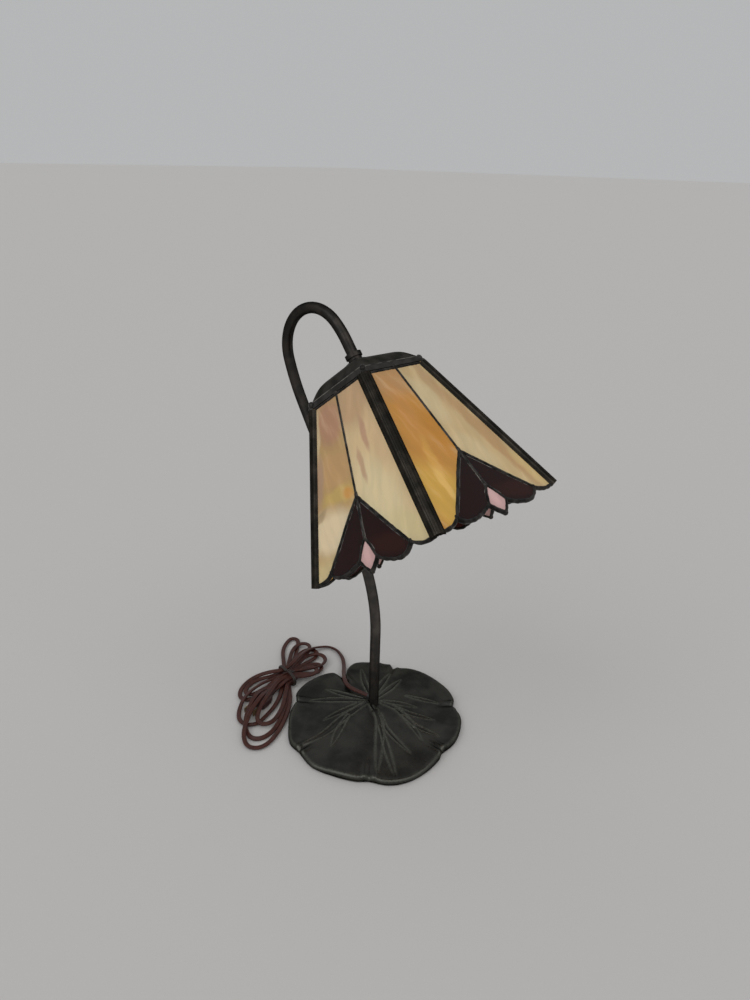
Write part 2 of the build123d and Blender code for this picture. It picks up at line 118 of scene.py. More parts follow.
class Shader:
    """One procedural material: its Principled node and short calls to add nodes to it."""

    def __init__(self, name, colour=None, roughness=0.5, metallic=0.0, **surface):
        self.material = bpy.data.materials.new(name)
        self.material.use_nodes = True
        self.tree = self.material.node_tree
        self.surface = self.tree.nodes["Principled BSDF"]
        self.set("Roughness", roughness)
        self.set("Metallic", metallic)
        if colour is not None:
            self.set("Base Color", colour)
        for key, value in surface.items():
            self.set(key.replace("_", " "), value)

    def set(self, socket, value):
        self.feed(self.surface.inputs[socket], value)

    def feed(self, socket, value):
        if isinstance(value, bpy.types.NodeSocket):
            self.tree.links.new(value, socket)
        else:
            socket.default_value = value

    def add(self, kind, inputs=None, **settings):
        node = self.tree.nodes.new("ShaderNode" + kind)
        for key, value in settings.items():
            setattr(node, key, value)
        for key, value in (inputs or {}).items():
            self.feed(node.inputs[key], value)
        return node

    def place(self):
        """Position on the object, in millimetres."""
        coordinates = self.add("TexCoord").outputs["Object"]
        return self.add("VectorMath", {0: coordinates, "Scale": 1 / MM},
                        operation="SCALE").outputs["Vector"]

    def noise(self, grain, detail=3.0, where=None, output="Fac"):
        """Cloudy noise whose patches are about grain millimetres across."""
        made = self.add("TexNoise", {"Vector": where or self.place(), "Scale": 1 / grain,
                                     "Detail": detail})
        return made.outputs[output]

    def ramp(self, value, low, high, start=0.0, end=1.0):
        """start where value is low, end where it is high, smooth between."""
        made = self.add("MapRange", {"Value": value, "From Min": low, "From Max": high,
                                     "To Min": start, "To Max": end},
                        interpolation_type="SMOOTHSTEP")
        return made.outputs["Result"]

    def mix(self, amount, first, second, blend="MIX"):
        made = self.add("Mix", {0: amount, 6: first, 7: second}, data_type="RGBA",
                        blend_type=blend)
        return made.outputs[2]

    def times(self, first, second):
        return self.add("Math", {0: first, 1: second}, operation="MULTIPLY").outputs[0]

    def toned(self, colour, level):
        """colour made darker or lighter by a grey level."""
        grey = self.add("CombineColor", {"Red": level, "Green": level, "Blue": level})
        return self.mix(1.0, colour, grey.outputs[0], "MULTIPLY")

    def let_through(self, share, colour):
        """Give part of the surface over to light that comes through it from behind."""
        glow = self.add("BsdfTranslucent", {"Color": colour})
        both = self.add("MixShader", {0: share, 1: self.surface.outputs[0], 2: glow.outputs[0]})
        self.feed(self.tree.nodes["Material Output"].inputs["Surface"], both.outputs[0])

    def bump(self, height, strength, distance):
        """distance is the height of the relief in millimetres."""
        made = self.add("Bump", {"Height": height, "Strength": strength,
                                 "Distance": distance * MM})
        self.set("Normal", made.outputs["Normal"])

    def attribute(self, name):
        return self.add("Attribute", attribute_name=name).outputs["Fac"]


# ------------------------------------------------------------------------- mesh tools

def make_piece(name, verts, faces, material, body, replaces=()):
    """A mesh object from millimetre points, riding on a body and standing for CAD nodes."""
    mesh = bpy.data.meshes.new(name)
    mesh.from_pydata([Vector(v) * MM for v in verts], [], faces)
    mesh.validate()
    mesh.shade_smooth()
    mesh.materials.append(material)
    piece = bpy.data.objects.new(name, mesh)
    bpy.context.scene.collection.objects.link(piece)
    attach(piece, body)
    if replaces:
        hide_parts(*replaces)
    return piece


def sweep(centres, sides, ups, rings):
    """Skin over one ring of (side, up) offsets at each centre, closed at both ends."""
    verts, faces = [], []
    count = len(rings[0])
    for centre, side, up, ring in zip(centres, sides, ups, rings):
        verts.extend(centre + side * a + up * b for a, b in ring)
    for i in range(len(centres) - 1):
        here, there = i * count, (i + 1) * count
        for j in range(count):
            k = (j + 1) % count
            faces.append((here + j, here + k, there + k, there + j))
    faces.append(tuple(range(count - 1, -1, -1)))
    faces.append(tuple(range(len(verts) - count, len(verts))))
    return verts, faces


def join_up(parts):
    """One (verts, faces) from several."""
    verts, faces = [], []
    for more_verts, more_faces in parts:
        start = len(verts)
        verts.extend(more_verts)
        faces.extend(tuple(start + i for i in face) for face in more_faces)
    return verts, faces


def make_joined(name, parts, place, material, replaces=()):
    """One piece of the lamp from several skins, drawn in the frame that place sets."""
    verts, faces = join_up(parts)
    return make_piece(name, [place @ v for v in verts], faces, material, "lamp", replaces)


def oval(half_width, half_height, count=12):
    turns = [2 * math.pi * i / count for i in range(count)]
    return [(half_width * math.cos(t), half_height * math.sin(t)) for t in turns]


def boxy(value, power):
    """A cosine or sine pushed outward, which makes a circle drawn with it boxy."""
    return math.copysign(abs(value) ** power, value)


def rounded_box(half_width, half_height, count=28, power=0.5):
    turns = [2 * math.pi * i / count for i in range(count)]
    return [(half_width * boxy(math.cos(t), power), half_height * boxy(math.sin(t), power))
            for t in turns]


def tangents(points):
    """Unit direction along a line at each of its points."""
    found = []
    for i in range(len(points)):
        ahead = points[min(i + 1, len(points) - 1)]
        behind = points[max(i - 1, 0)]
        found.append((ahead - behind).normalized())
    return found


def through(points, step):
    """Smooth line through flat (x, y) points, sampled about every step."""
    points = [Vector(p) for p in points]
    if len(points) == 2:
        count = max(2, int((points[1] - points[0]).length / step))
        return [points[0].lerp(points[1], i / count) for i in range(count + 1)]
    line = [2 * points[0] - points[1], *points, 2 * points[-1] - points[-2]]
    sampled = [points[0]]
    for p0, p1, p2, p3 in zip(line, line[1:], line[2:], line[3:]):
        gaps = [max(1e-6, (b - a).length) ** 0.5 for a, b in ((p0, p1), (p1, p2), (p2, p3))]
        tangent_1 = (p2 - p0) / (gaps[0] + gaps[1]) * gaps[1]
        tangent_2 = (p3 - p1) / (gaps[1] + gaps[2]) * gaps[1]
        count = max(1, round((p2 - p1).length / step))
        for i in range(1, count + 1):
            t = i / count
            sampled.append(
                p1 * (2 * t ** 3 - 3 * t ** 2 + 1) + tangent_1 * (t ** 3 - 2 * t ** 2 + t)
                + p2 * (3 * t ** 2 - 2 * t ** 3) + tangent_2 * (t ** 3 - t ** 2))
    return sampled


def evenly(points, step):
    """The same line, resampled at an even spacing."""
    arc = [0.0]
    for a, b in zip(points, points[1:]):
        arc.append(arc[-1] + (b - a).length)
    count = max(2, round(arc[-1] / step))
    wanted = np.linspace(0, arc[-1], count + 1)
    columns = [np.interp(wanted, arc, [p[axis] for p in points]) for axis in range(3)]
    return [Vector(p) for p in zip(*columns)]


def tube(points, radius, count=10):
    """Round tube along a line."""
    along = tangents(points)
    side = along[0].orthogonal().normalized()
    sides, ups = [], []
    for direction in along:
        side = (side - direction * side.dot(direction)).normalized()
        sides.append(side)
        ups.append(direction.cross(side))
    return sweep(points, sides, ups, [oval(radius, radius, count)] * len(points))


def ripple(seed, waves, length):
    """A gentle, repeatable wobble of about -1 to 1 along a line."""
    draw = random.Random(seed)
    parts = [(draw.uniform(0.5, 1.0), 2 * math.pi / (length * draw.uniform(0.6, 1.6)),
              draw.uniform(0, 2 * math.pi)) for _ in range(waves)]
    total = sum(part[0] for part in parts)
    return lambda s: sum(a * math.sin(f * s + p) for a, f, p in parts) / total


# ------------------------------------------------------------------------------ shade

NECK_END = (-37.848, 0.0, 425.449)
NECK_SLANT = math.radians(37.3)
SHADE_ROLL = math.radians(-1.95)
SHADE_YAW = math.radians(0.75)
CAP_BELOW_NECK = 28.8
FACE_SLOPE = math.radians(16.5)
TOP_HALF = 44.0
GLASS_THICK = 3.0
FACES = {"front": 0, "left": 90, "back": 180, "right": 270}

HEART = (0, 107)
BUD_TOP = (0, 148)
BUD_TIP = (0, 180)

# Edges of the pieces on the right (1) and left (-1) half of a face, as points across
# from its centre line and down the slope.
HALVES = {
    1: {
        "petal_edge": [HEART, (20, 128), (40, 149), (52, 161), (59, 168.5)],
        "petal_rim": [(59, 168.5), (67, 172), (76, 174), (88.5, 173)],
        "sepal_rim": [(59, 168.5), (53.5, 174.5), (47, 177.5), (40, 178), (30, 176),
                      (20, 172.8), (12, 168.5)],
        "bud_shoulder": [BUD_TOP, (6.2, 157.5), (12, 168.5)],
        "bud_point": [(12, 168.5), (6.5, 174.6), BUD_TIP],
    },
    -1: {
        "petal_edge": [HEART, (20, 125.5), (40, 146), (52, 157.5), (60, 166)],
        "petal_rim": [(60, 166), (68, 170.3), (77, 172.2), (88.5, 172)],
        "sepal_rim": [(60, 166), (57, 170), (50, 173), (40, 173.8), (30, 172.3),
                      (21, 169.6), (13.5, 167)],
        "bud_shoulder": [BUD_TOP, (7, 157), (13.5, 167)],
        "bud_point": [(13.5, 167), (7, 174), BUD_TIP],
    },
}
RIMS = ("petal_rim", "sepal_rim", "bud_point")
TOP_CAME_DOWN, TOP_CAME_HALF = 1.8, 36.5
# Where the cap's ledge lies, and the radius of the painted highlight wire laid round it.
CAP_LEDGE, LEDGE_HEIGHT, LEDGE_HIGHLIGHT_RADIUS = 43.1, 6.0, 0.38

# Section of the lead lines and of the painted highlights beside them, and how uneven each is. The
# highlights are thin pale beads standing for light caught on the edges of the lead.
BEAD_STEP = 1.6
BEAD_HALF_WIDTH, BEAD_HALF_HEIGHT, BEAD_CRINKLE = 2.0, 2.55, 0.14
RIM_HALF_WIDTH, RIM_CRINKLE = 2.05, 0.24
HIGHLIGHT_HALF_WIDTH, HIGHLIGHT_HALF_HEIGHT, HIGHLIGHT_CRINKLE = 0.55, 1.72, 0.3
HIGHLIGHT_PETAL_GAP, HIGHLIGHT_BUD_GAP = 2.3, 2.2
HIGHLIGHT_SKIP_START, HIGHLIGHT_SKIP_END = 5, 4  # steps

# Drops of solder over the joints: their reach across, down and outward.
NOTCH_DROP = (3.1, 3.4, 2.8)
BUD_SIDE_DROP = (3.0, 2.8, 2.8)
ARM_AT, ARM_DROP, ARM_TURN = (3.4, 110.5), (5.6, 2.3, 2.75), 0.75
MIDDLE_DROPS = [
    ((0, 106.5), (3.1, 6.0, 2.95)),
    ((0, 0.6), (3.6, 2.4, 3.6)),
    ((TOP_HALF + 0.3, -0.4), (3.2, 3.0, 3.4)),
    ((TOP_HALF - 0.6, -4.6), (3.0, 4.2, 3.2)),
    (BUD_TOP, (2.9, 4.4, 2.8)),
    (BUD_TIP, (2.7, 2.6, 2.75)),
]


def shade_matrix():
    hung = Matrix.Translation(NECK_END) @ Matrix.Rotation(-NECK_SLANT, 4, "Y")
    turned = Matrix.Rotation(SHADE_ROLL, 4, "X") @ Matrix.Rotation(SHADE_YAW, 4, "Z")
    return hung @ turned @ Matrix.Translation((0, 0, -CAP_BELOW_NECK))


def face_matrix(face):
    """Frame on the outside of one shade face: x across, y up the slope, z outward."""
    slope_up = Vector((-math.sin(FACE_SLOPE), 0, math.cos(FACE_SLOPE)))
    outward = Vector((math.cos(FACE_SLOPE), 0, math.sin(FACE_SLOPE)))
    upright = Matrix((Vector((0, 1, 0)), slope_up, outward)).transposed().to_4x4()
    upright.translation = (TOP_HALF, 0, 0)
    turn = Matrix.Rotation(math.radians(FACES[face]), 4, "Z")
    return shade_matrix() @ turn @ upright


def bead_along(flat, half_width, half_height, crinkle, seed):
    """An uneven oval bead along a flat line, at the middle of the glass's thickness."""
    centres = [Vector((p.x, p.y, -GLASS_THICK / 2)) for p in flat]
    along = tangents(centres)
    ups = [Vector((0, 0, 1))] * len(centres)
    sides = [up.cross(t).normalized() for up, t in zip(ups, along)]
    wide, high = ripple(seed, waves=5, length=9.0), ripple(seed + 1, waves=5, length=12.0)
    rings = []
    for i in range(len(centres)):
        s = BEAD_STEP * i
        rings.append(oval(half_width * (1 + crinkle * wide(s)),
                          half_height * (1 + 0.4 * crinkle * high(s))))
    return sweep(centres, sides, ups, rings)


def solder_bead(points, side, seed, half_width=BEAD_HALF_WIDTH, crinkle=BEAD_CRINKLE):
    """One lead line, standing proud of the glass on both sides."""
    flat = through([(side * u, -v) for u, v in points], BEAD_STEP)
    return bead_along(flat, half_width, BEAD_HALF_HEIGHT, crinkle, seed)


def highlight_line(points, side, gap, seed):
    """A painted highlight beside a lead line, gap millimetres to its left: a thin pale bead
    standing for light caught on the lead's edge.
    """
    line = through([(side * u, -v) for u, v in points], BEAD_STEP)
    flat = []
    for p, direction in zip(line, tangents(line)):
        flat.append(p + Vector((-direction.y, direction.x)) * gap)
    kept = flat[HIGHLIGHT_SKIP_START:-HIGHLIGHT_SKIP_END]
    return bead_along(kept, HIGHLIGHT_HALF_WIDTH, HIGHLIGHT_HALF_HEIGHT, HIGHLIGHT_CRINKLE, seed)


def solder_blob(at, radii, turn=0.0, count=14):
    """A flattened drop of solder over a joint."""
    verts, faces = [], []
    cos_turn, sin_turn = math.cos(turn), math.sin(turn)
    rows = count // 2
    for i in range(1, rows):
        polar = math.pi * i / rows
        for j in range(count):
            around = 2 * math.pi * j / count
            x = radii[0] * math.sin(polar) * math.cos(around)
            y = radii[1] * math.sin(polar) * math.sin(around)
            z = radii[2] * math.cos(polar)
            verts.append(Vector((at[0] + x * cos_turn - y * sin_turn,
                                 -at[1] + x * sin_turn + y * cos_turn, z - GLASS_THICK / 2)))
    top = len(verts)
    verts.append(Vector((at[0], -at[1], radii[2] - GLASS_THICK / 2)))
    verts.append(Vector((at[0], -at[1], -radii[2] - GLASS_THICK / 2)))
    for i in range(rows - 2):
        for j in range(count):
            k = (j + 1) % count
            a, b = i * count, (i + 1) * count
            faces.append((a + j, b + j, b + k, a + k))
    for j in range(count):
        k = (j + 1) % count
        faces.append((top, j, k))
        faces.append((top + 1, (rows - 2) * count + k, (rows - 2) * count + j))
    return verts, faces


def add_lead(face, seed, material):
    top_came = [(-TOP_CAME_HALF, TOP_CAME_DOWN), (TOP_CAME_HALF, TOP_CAME_DOWN)]
    parts = [solder_bead([(0, TOP_CAME_DOWN), BUD_TOP], 1, seed),
             solder_bead(top_came, 1, seed + 3)]
    for side, half in HALVES.items():
        for order, (name, points) in enumerate(half.items()):
            section = (RIM_HALF_WIDTH, RIM_CRINKLE) if name in RIMS else ()
            parts.append(solder_bead(points, side, seed + 10 * order + 5 * side, *section))
        for (across, down), drop in ((half["petal_rim"][0], NOTCH_DROP),
                                     (half["bud_point"][0], BUD_SIDE_DROP)):
            parts.append(solder_blob((side * across, down), drop))
        parts.append(solder_blob((side * ARM_AT[0], ARM_AT[1]), ARM_DROP, -side * ARM_TURN))
    parts.extend(solder_blob(at, drop) for at, drop in MIDDLE_DROPS)
    stands_for = [face + "_lead"]
    if face == "front":
        stands_for.append("solder_joints")
    return make_joined("lead_" + face, parts, face_matrix(face), material, stands_for)


def add_cap_highlight(material):
    """A painted highlight round the cap's ledge between its skirt and its dome: a thin pale wire
    standing for light caught on that edge.
    """
    corners = [Vector((CAP_LEDGE * a, CAP_LEDGE * b, LEDGE_HEIGHT))
               for a, b in ((1, 1), (-1, 1), (-1, -1), (1, -1))]
    steps = 40
    parts = []
    for start, end in zip(corners, corners[1:] + corners[:1]):
        line = [start.lerp(end, i / steps) for i in range(steps + 1)]
        parts.append(tube(line, LEDGE_HIGHLIGHT_RADIUS, 6))
    return make_joined("cap_ledge_highlight", parts, shade_matrix(), material)


def add_painted_highlights(face, seed, material):
    """Painted highlights round the two dark sepals of a face: pale beads standing for light caught
    on the lead's edges.
    """
    parts = []
    for side, half in HALVES.items():
        parts.append(highlight_line(half["petal_edge"], side, -HIGHLIGHT_PETAL_GAP * side, seed + side))
        stalk = [HEART, *half["bud_shoulder"]]
        parts.append(highlight_line(stalk, side, HIGHLIGHT_BUD_GAP * side, seed + 4 + side))
    return make_joined("foil_" + face, parts, face_matrix(face), material)


# Opalescent glass: each piece has a ground colour and patches laid over it in turn, as
# (across, down, turn in degrees, reach along, reach across, colour, strength).
GLASS = {
    "front_petal_left": ((194, 142, 66), [
        (-20, 4, 0, 60, 38, (184, 144, 98), 0.85),
        (-28, 50, 100, 40, 12, (196, 142, 76), 0.6),
        (-8, 84, 88, 42, 15, (190, 132, 46), 0.7),
        (-52, 148, 60, 64, 36, (206, 170, 80), 0.85),
        (-40, 112, 106, 40, 6, (214, 172, 84), 0.55),
        (-47, 134, 90, 27, 5, (228, 196, 122), 0.55),
    ]),
    "front_petal_right": ((198, 176, 132), [
        (12, 48, 86, 40, 15, (206, 189, 150), 0.85),
        (22, 112, 60, 36, 16, (204, 187, 148), 0.8),
        (10, 6, 84, 16, 8, (190, 164, 118), 0.6),
        (30, 26, 84, 44, 9, (184, 152, 112), 0.7),
        (52, 100, 76, 92, 10, (184, 150, 106), 0.9),
        (72, 148, 72, 34, 9, (208, 184, 128), 0.7),
    ]),
    "right_petal_left": ((186, 156, 104), [
        (-20, 25, 90, 29, 25, (180, 137, 110), 0.9),
        (-42, 28, 106, 34, 6, (214, 196, 158), 0.75),
        (-20, 72, 0, 40, 24, (194, 158, 110), 0.8),
        (-52, 76, 106, 34, 10, (178, 148, 122), 0.8),
        (-24, 98, 0, 36, 10, (200, 174, 104), 0.8),
        (-10, 99, 0, 10, 7, (202, 148, 70), 0.8),
        (-44, 130, 8, 70, 27, (219, 205, 174), 0.92),
        (-70, 166, 0, 50, 20, (205, 189, 144), 0.85),
        (-62, 110, -20, 16, 5, (168, 146, 112), 0.8),
    ]),
    "right_petal_right": ((212, 190, 148), [
        (16, 16, 0, 50, 34, (192, 160, 122), 0.85),
        (44, 66, 76, 50, 11, (208, 182, 142), 0.7),
        (34, 120, 60, 60, 32, (215, 202, 164), 0.9),
        (64, 158, 30, 40, 18, (206, 193, 150), 0.8),
        (28, 56, 80, 24, 5, (184, 146, 120), 0.8),
        (16, 82, 84, 20, 4, (186, 150, 122), 0.7),
    ]),
}
SEPAL = ((24, 16, 17), [(32, 162, 20, 34, 12, (62, 38, 26), 0.4)])
SEPAL_GLOW = (196, 84, 46)
BUD = ((200, 165, 162), [(0, 160, 90, 14, 6, (216, 182, 178), 0.6)])
MILK = (214, 196, 160)
GLASS_PIECES = ("bud", "petal_left", "petal_right", "sepal_left", "sepal_right")
GLASS_GAIN = 1.5
GLASS_LETS_THROUGH = 0.30

# How far the patches are pulled out of shape, and the fine wisps' grain and lean.
GLASS_DRIFT = (11, 15, 0)
WISP_SIZE, WISP_LEAN = (13, 62, 1), 0.24


def mirrored(recipe):
    ground, patches = recipe
    return ground, [(-u, v, -turn, along, across, colour, strength)
                    for u, v, turn, along, across, colour, strength in patches]


def glass_recipe(face, piece):
    """Colours of one piece. The two faces at the back repeat the near ones, mirrored."""
    if piece.startswith("sepal"):
        return SEPAL
    if piece == "bud":
        return BUD
    if face + "_" + piece in GLASS:
        return GLASS[face + "_" + piece]
    twin_face = {"back": "front", "left": "right"}[face]
    twin_piece = {"petal_left": "petal_right", "petal_right": "petal_left"}[piece]
    return mirrored(GLASS[twin_face + "_" + twin_piece])


def brighter(colour, gain):
    return tuple(level * gain for level in srgb(*colour)[:3]) + (1.0,)


def lay_patches(shader, place, colour, patches, gain):
    """colour with soft-edged oval patches laid over it in turn."""
    for u, v, turn, along, across, patch, strength in patches:
        spot = shader.add("Mapping", {
            "Vector": place, "Location": (u, v, 0), "Rotation": (0, 0, math.radians(turn)),
            "Scale": (along, across, 1)}, vector_type="TEXTURE")
        reach = shader.add("VectorMath", {0: spot.outputs[0]}, operation="LENGTH")
        amount = shader.ramp(reach.outputs["Value"], 0.45, 1.1, strength, 0.0)
        colour = shader.mix(amount, colour, brighter(patch, gain))
    return colour


def face_place(shader, face):
    """Position on a face in millimetres: across it and down its slope."""
    matrix = face_matrix(face)
    coordinates = shader.add("TexCoord").outputs["Object"]
    local = shader.add("Mapping", {
        "Vector": coordinates, "Location": matrix.translation * MM,
        "Rotation": matrix.to_euler(), "Scale": (MM, MM, MM)}, vector_type="TEXTURE")
    return shader.add("VectorMath", {0: local.outputs[0], 1: (1, -1, 0)},
                      operation="MULTIPLY").outputs["Vector"]


def glass_material(face, piece):
    ground, patches = glass_recipe(face, piece)
    dark = piece.startswith("sepal")
    shader = Shader("glass_" + face + "_" + piece, roughness=0.14 if dark else 0.24,
                    Specular_IOR_Level=0.2 if dark else 0.5)
    flat = face_place(shader, face)
    cloud = shader.noise(26.0, detail=2.0, where=flat, output="Color")
    drift = shader.add("VectorMath", {0: cloud, 1: (-0.5, -0.5, -0.5)}, operation="ADD")
    drift = shader.add("VectorMath", {0: drift.outputs[0], 1: GLASS_DRIFT},
                       operation="MULTIPLY")
    bent = shader.add("VectorMath", {0: flat, 1: drift.outputs[0]}, operation="ADD").outputs[0]

    gain = 1.0 if dark else GLASS_GAIN
    colour = lay_patches(shader, bent, brighter(ground, gain), patches, gain)

    lean = WISP_LEAN if piece.endswith("right") else -WISP_LEAN
    wisps = shader.add("Mapping", {"Vector": bent, "Rotation": (0, 0, lean),
                                   "Scale": WISP_SIZE}, vector_type="TEXTURE")
    streak = shader.noise(1.0, detail=2.5, where=wisps.outputs[0])
    if not dark:
        milk = shader.ramp(streak, 0.54, 0.76, 0.0, 0.3)
        colour = shader.mix(milk, colour, brighter(MILK, gain))
    colour = shader.toned(colour, shader.ramp(streak, 0.30, 0.72, 0.93, 1.04))
    shader.set("Base Color", colour)
    shader.bump(shader.noise(11.0, detail=2.0, where=flat), strength=0.2, distance=0.15)

    shader.let_through(GLASS_LETS_THROUGH, srgb(*SEPAL_GLOW) if dark else colour)
    return shader.material


# ------------------------------------------------------------------------- leaf foot

LEAF_MIDDLE = Vector((12.0, -12.0))
LEAF_BOTTOM, LEAF_CROWN, LEAF_EDGE, LEAF_REACH = 1.5, 14.5, 6.0, 108.0
LEAF_LOBES = [
    [(-58, 10), (-71, 11), (-85, 9), (-92, -3), (-94, -23), (-88, -45), (-75, -57)],
    [(-75, -57), (-68, -72), (-51.5, -91), (-29.5, -109), (-10.5, -112)],
    [(-10.5, -112), (16.5, -117), (44.5, -109), (64.5, -99), (75.5, -89)],
    [(75.5, -89), (94.5, -78), (106.5, -60), (111.5, -36), (110.5, -12), (106.5, -1)],
    [(106.5, -1), (106.5, 22), (98.5, 44), (84.5, 63), (67.5, 70)],
    [(67.5, 70), (59.5, 82), (38.5, 93), (6.5, 96), (-19.5, 91), (-34.5, 76)],
    [(-34.5, 76), (-44.5, 78), (-58.5, 68)],
    [(-58.5, 68), (-72.5, 58), (-78.5, 47), (-73.5, 30), (-58, 10)],
]

# Each vein is a pair of ridges that part and close again: its line and greatest width.
LEAF_VEINS = [
    ([(-5, -6), (-6, -45), (-5, -75), (-12, -102)], 9.0),
    ([(-5, -38), (2, -58), (14, -84)], 7.0),
    ([(-10, -10), (-15, -34), (-21, -62)], 6.0),
    ([(-9, -6), (-30, -22), (-60, -47)], 8.0),
    ([(-10, -3), (-36, -13), (-61, -19)], 6.5),
    ([(2, -6), (26, -18), (50, -44), (77, -78)], 9.0),
    ([(34, -26), (60, -44), (95, -68)], 6.5),
    ([(20, -10), (44, -24), (84, -32)], 5.0),
    ([(3, 4), (26, 10), (44, 7), (64, 0), (82, -8)], 7.0),
    ([(42, 7), (64, 5), (90, 12)], 6.0),
    ([(26, 12), (46, 16), (70, 29)], 6.0),
    ([(6, 8), (24, 20), (42, 30)], 6.0),
    ([(20, 38), (36, 46), (54, 57)], 5.0),
    ([(-2, 8), (-4, 32), (-8, 59)], 7.0),
    ([(-6, 8), (-16, 30), (-27, 60)], 6.5),
    ([(-9, 5), (-34, 21), (-60, 42)], 6.0),
]


# Each notch between two lobes: a crease running inward, with a fold on either side.
CREASE_REACH, CREASE_DEPTH, CREASE_WIDTH = 16, 1.5, 2.2
FOLD_RISE, FOLD_OFFSET, FOLD_WIDTH = 1.2, 5.5, 2.6
ROLL_WIDTH, ROLL_DROP = 2.6, 2.6
# Inset and width of the paler band inside the leaf's edge: partly worn metal, partly painted
# highlight.
WEAR_AND_HIGHLIGHT_INSET, WEAR_AND_HIGHLIGHT_WIDTH = 2.0, 1.8


def leaf_outline(samples):
    """Radius of the leaf's edge about its middle, at evenly spaced directions."""
    outline = []
    for lobe in LEAF_LOBES:
        outline.extend(through(lobe, 1.0)[:-1])
    spokes = [p - LEAF_MIDDLE for p in outline]
    turns = np.array([math.atan2(s.y, s.x) for s in spokes])
    radii = np.array([s.length for s in spokes])
    order = np.argsort(turns)
    wanted = -math.pi + 2 * math.pi * np.arange(samples) / samples
    return wanted, np.interp(wanted, turns[order], radii[order], period=2 * math.pi)


def vein_relief(x, y):
    """Height of the vein ridges over a grid of points, in millimetres."""
    proud, thin = 1.05, 1.5
    relief = np.zeros_like(x)
    for points, widest in LEAF_VEINS:
        line = through(points, 3.0)
        gap = np.full_like(x, 1e9)
        share = np.zeros_like(x)
        for i, (a, b) in enumerate(zip(line, line[1:])):
            step = b - a
            t = np.clip(((x - a.x) * step.x + (y - a.y) * step.y) / step.length_squared, 0, 1)
            away = np.hypot(x - a.x - t * step.x, y - a.y - t * step.y)
            nearer = away < gap
            gap = np.where(nearer, away, gap)
            share = np.where(nearer, (i + t) / (len(line) - 1), share)
        half = 0.5 * widest * np.sin(np.pi * (0.16 + 0.80 * share ** 1.3))
        rise = proud * np.clip(1.25 - 0.7 * share, 0.4, 1.0)
        ridge = rise * np.exp(-((gap - half) / thin) ** 2)
        hollow = -0.5 * rise * np.exp(-(gap / (0.6 * half + 0.3)) ** 2)
        inside = np.where(gap < half, hollow, 0.0)
        relief = np.where(np.abs(ridge + inside) > np.abs(relief), ridge + inside, relief)
    return relief


def smooth_step(value, low, high):
    t = np.clip((value - low) / (high - low), 0, 1)
    return t * t * (3 - 2 * t)


def leaf_height(x, y, from_edge):
    """Top of the leaf: dome, waves, veins, puckered notches and a rolled edge."""
    reach = np.hypot(x - LEAF_MIDDLE.x, y - LEAF_MIDDLE.y)
    dome = LEAF_CROWN - (LEAF_CROWN - LEAF_EDGE) * (reach / LEAF_REACH) ** 2
    turn = np.arctan2(y - LEAF_MIDDLE.y, x - LEAF_MIDDLE.x)
    outer = smooth_step(reach, 30, 100)
    waves = outer * (0.7 * np.sin(5 * turn + 0.6) + 0.4 * np.sin(11 * turn + 2.0))
    inner = smooth_step(from_edge, 3, 14)
    veins = vein_relief(x, y) * inner
    puckers = np.zeros_like(x)
    for lobe in LEAF_LOBES:
        notch = Vector(lobe[0])
        inward = (LEAF_MIDDLE - notch).normalized()
        along = (x - notch.x) * inward.x + (y - notch.y) * inward.y
        off = -(x - notch.x) * inward.y + (y - notch.y) * inward.x
        fade = np.exp(-(np.clip(along, 0, None) / CREASE_REACH) ** 2)
        puckers -= CREASE_DEPTH * fade * np.exp(-(off / CREASE_WIDTH) ** 2)
        beside = (np.abs(off) - FOLD_OFFSET) / FOLD_WIDTH
        puckers += FOLD_RISE * fade * np.exp(-beside ** 2)
    lip = 0.45 * np.exp(-((from_edge - 3.2) / 2.0) ** 2)
    over = np.clip((ROLL_WIDTH - from_edge) / ROLL_WIDTH, 0, 1)
    roll = ROLL_DROP * (1 - np.sqrt(1 - 0.985 * over ** 2))
    return dome + waves + veins + puckers + lip - roll, veins


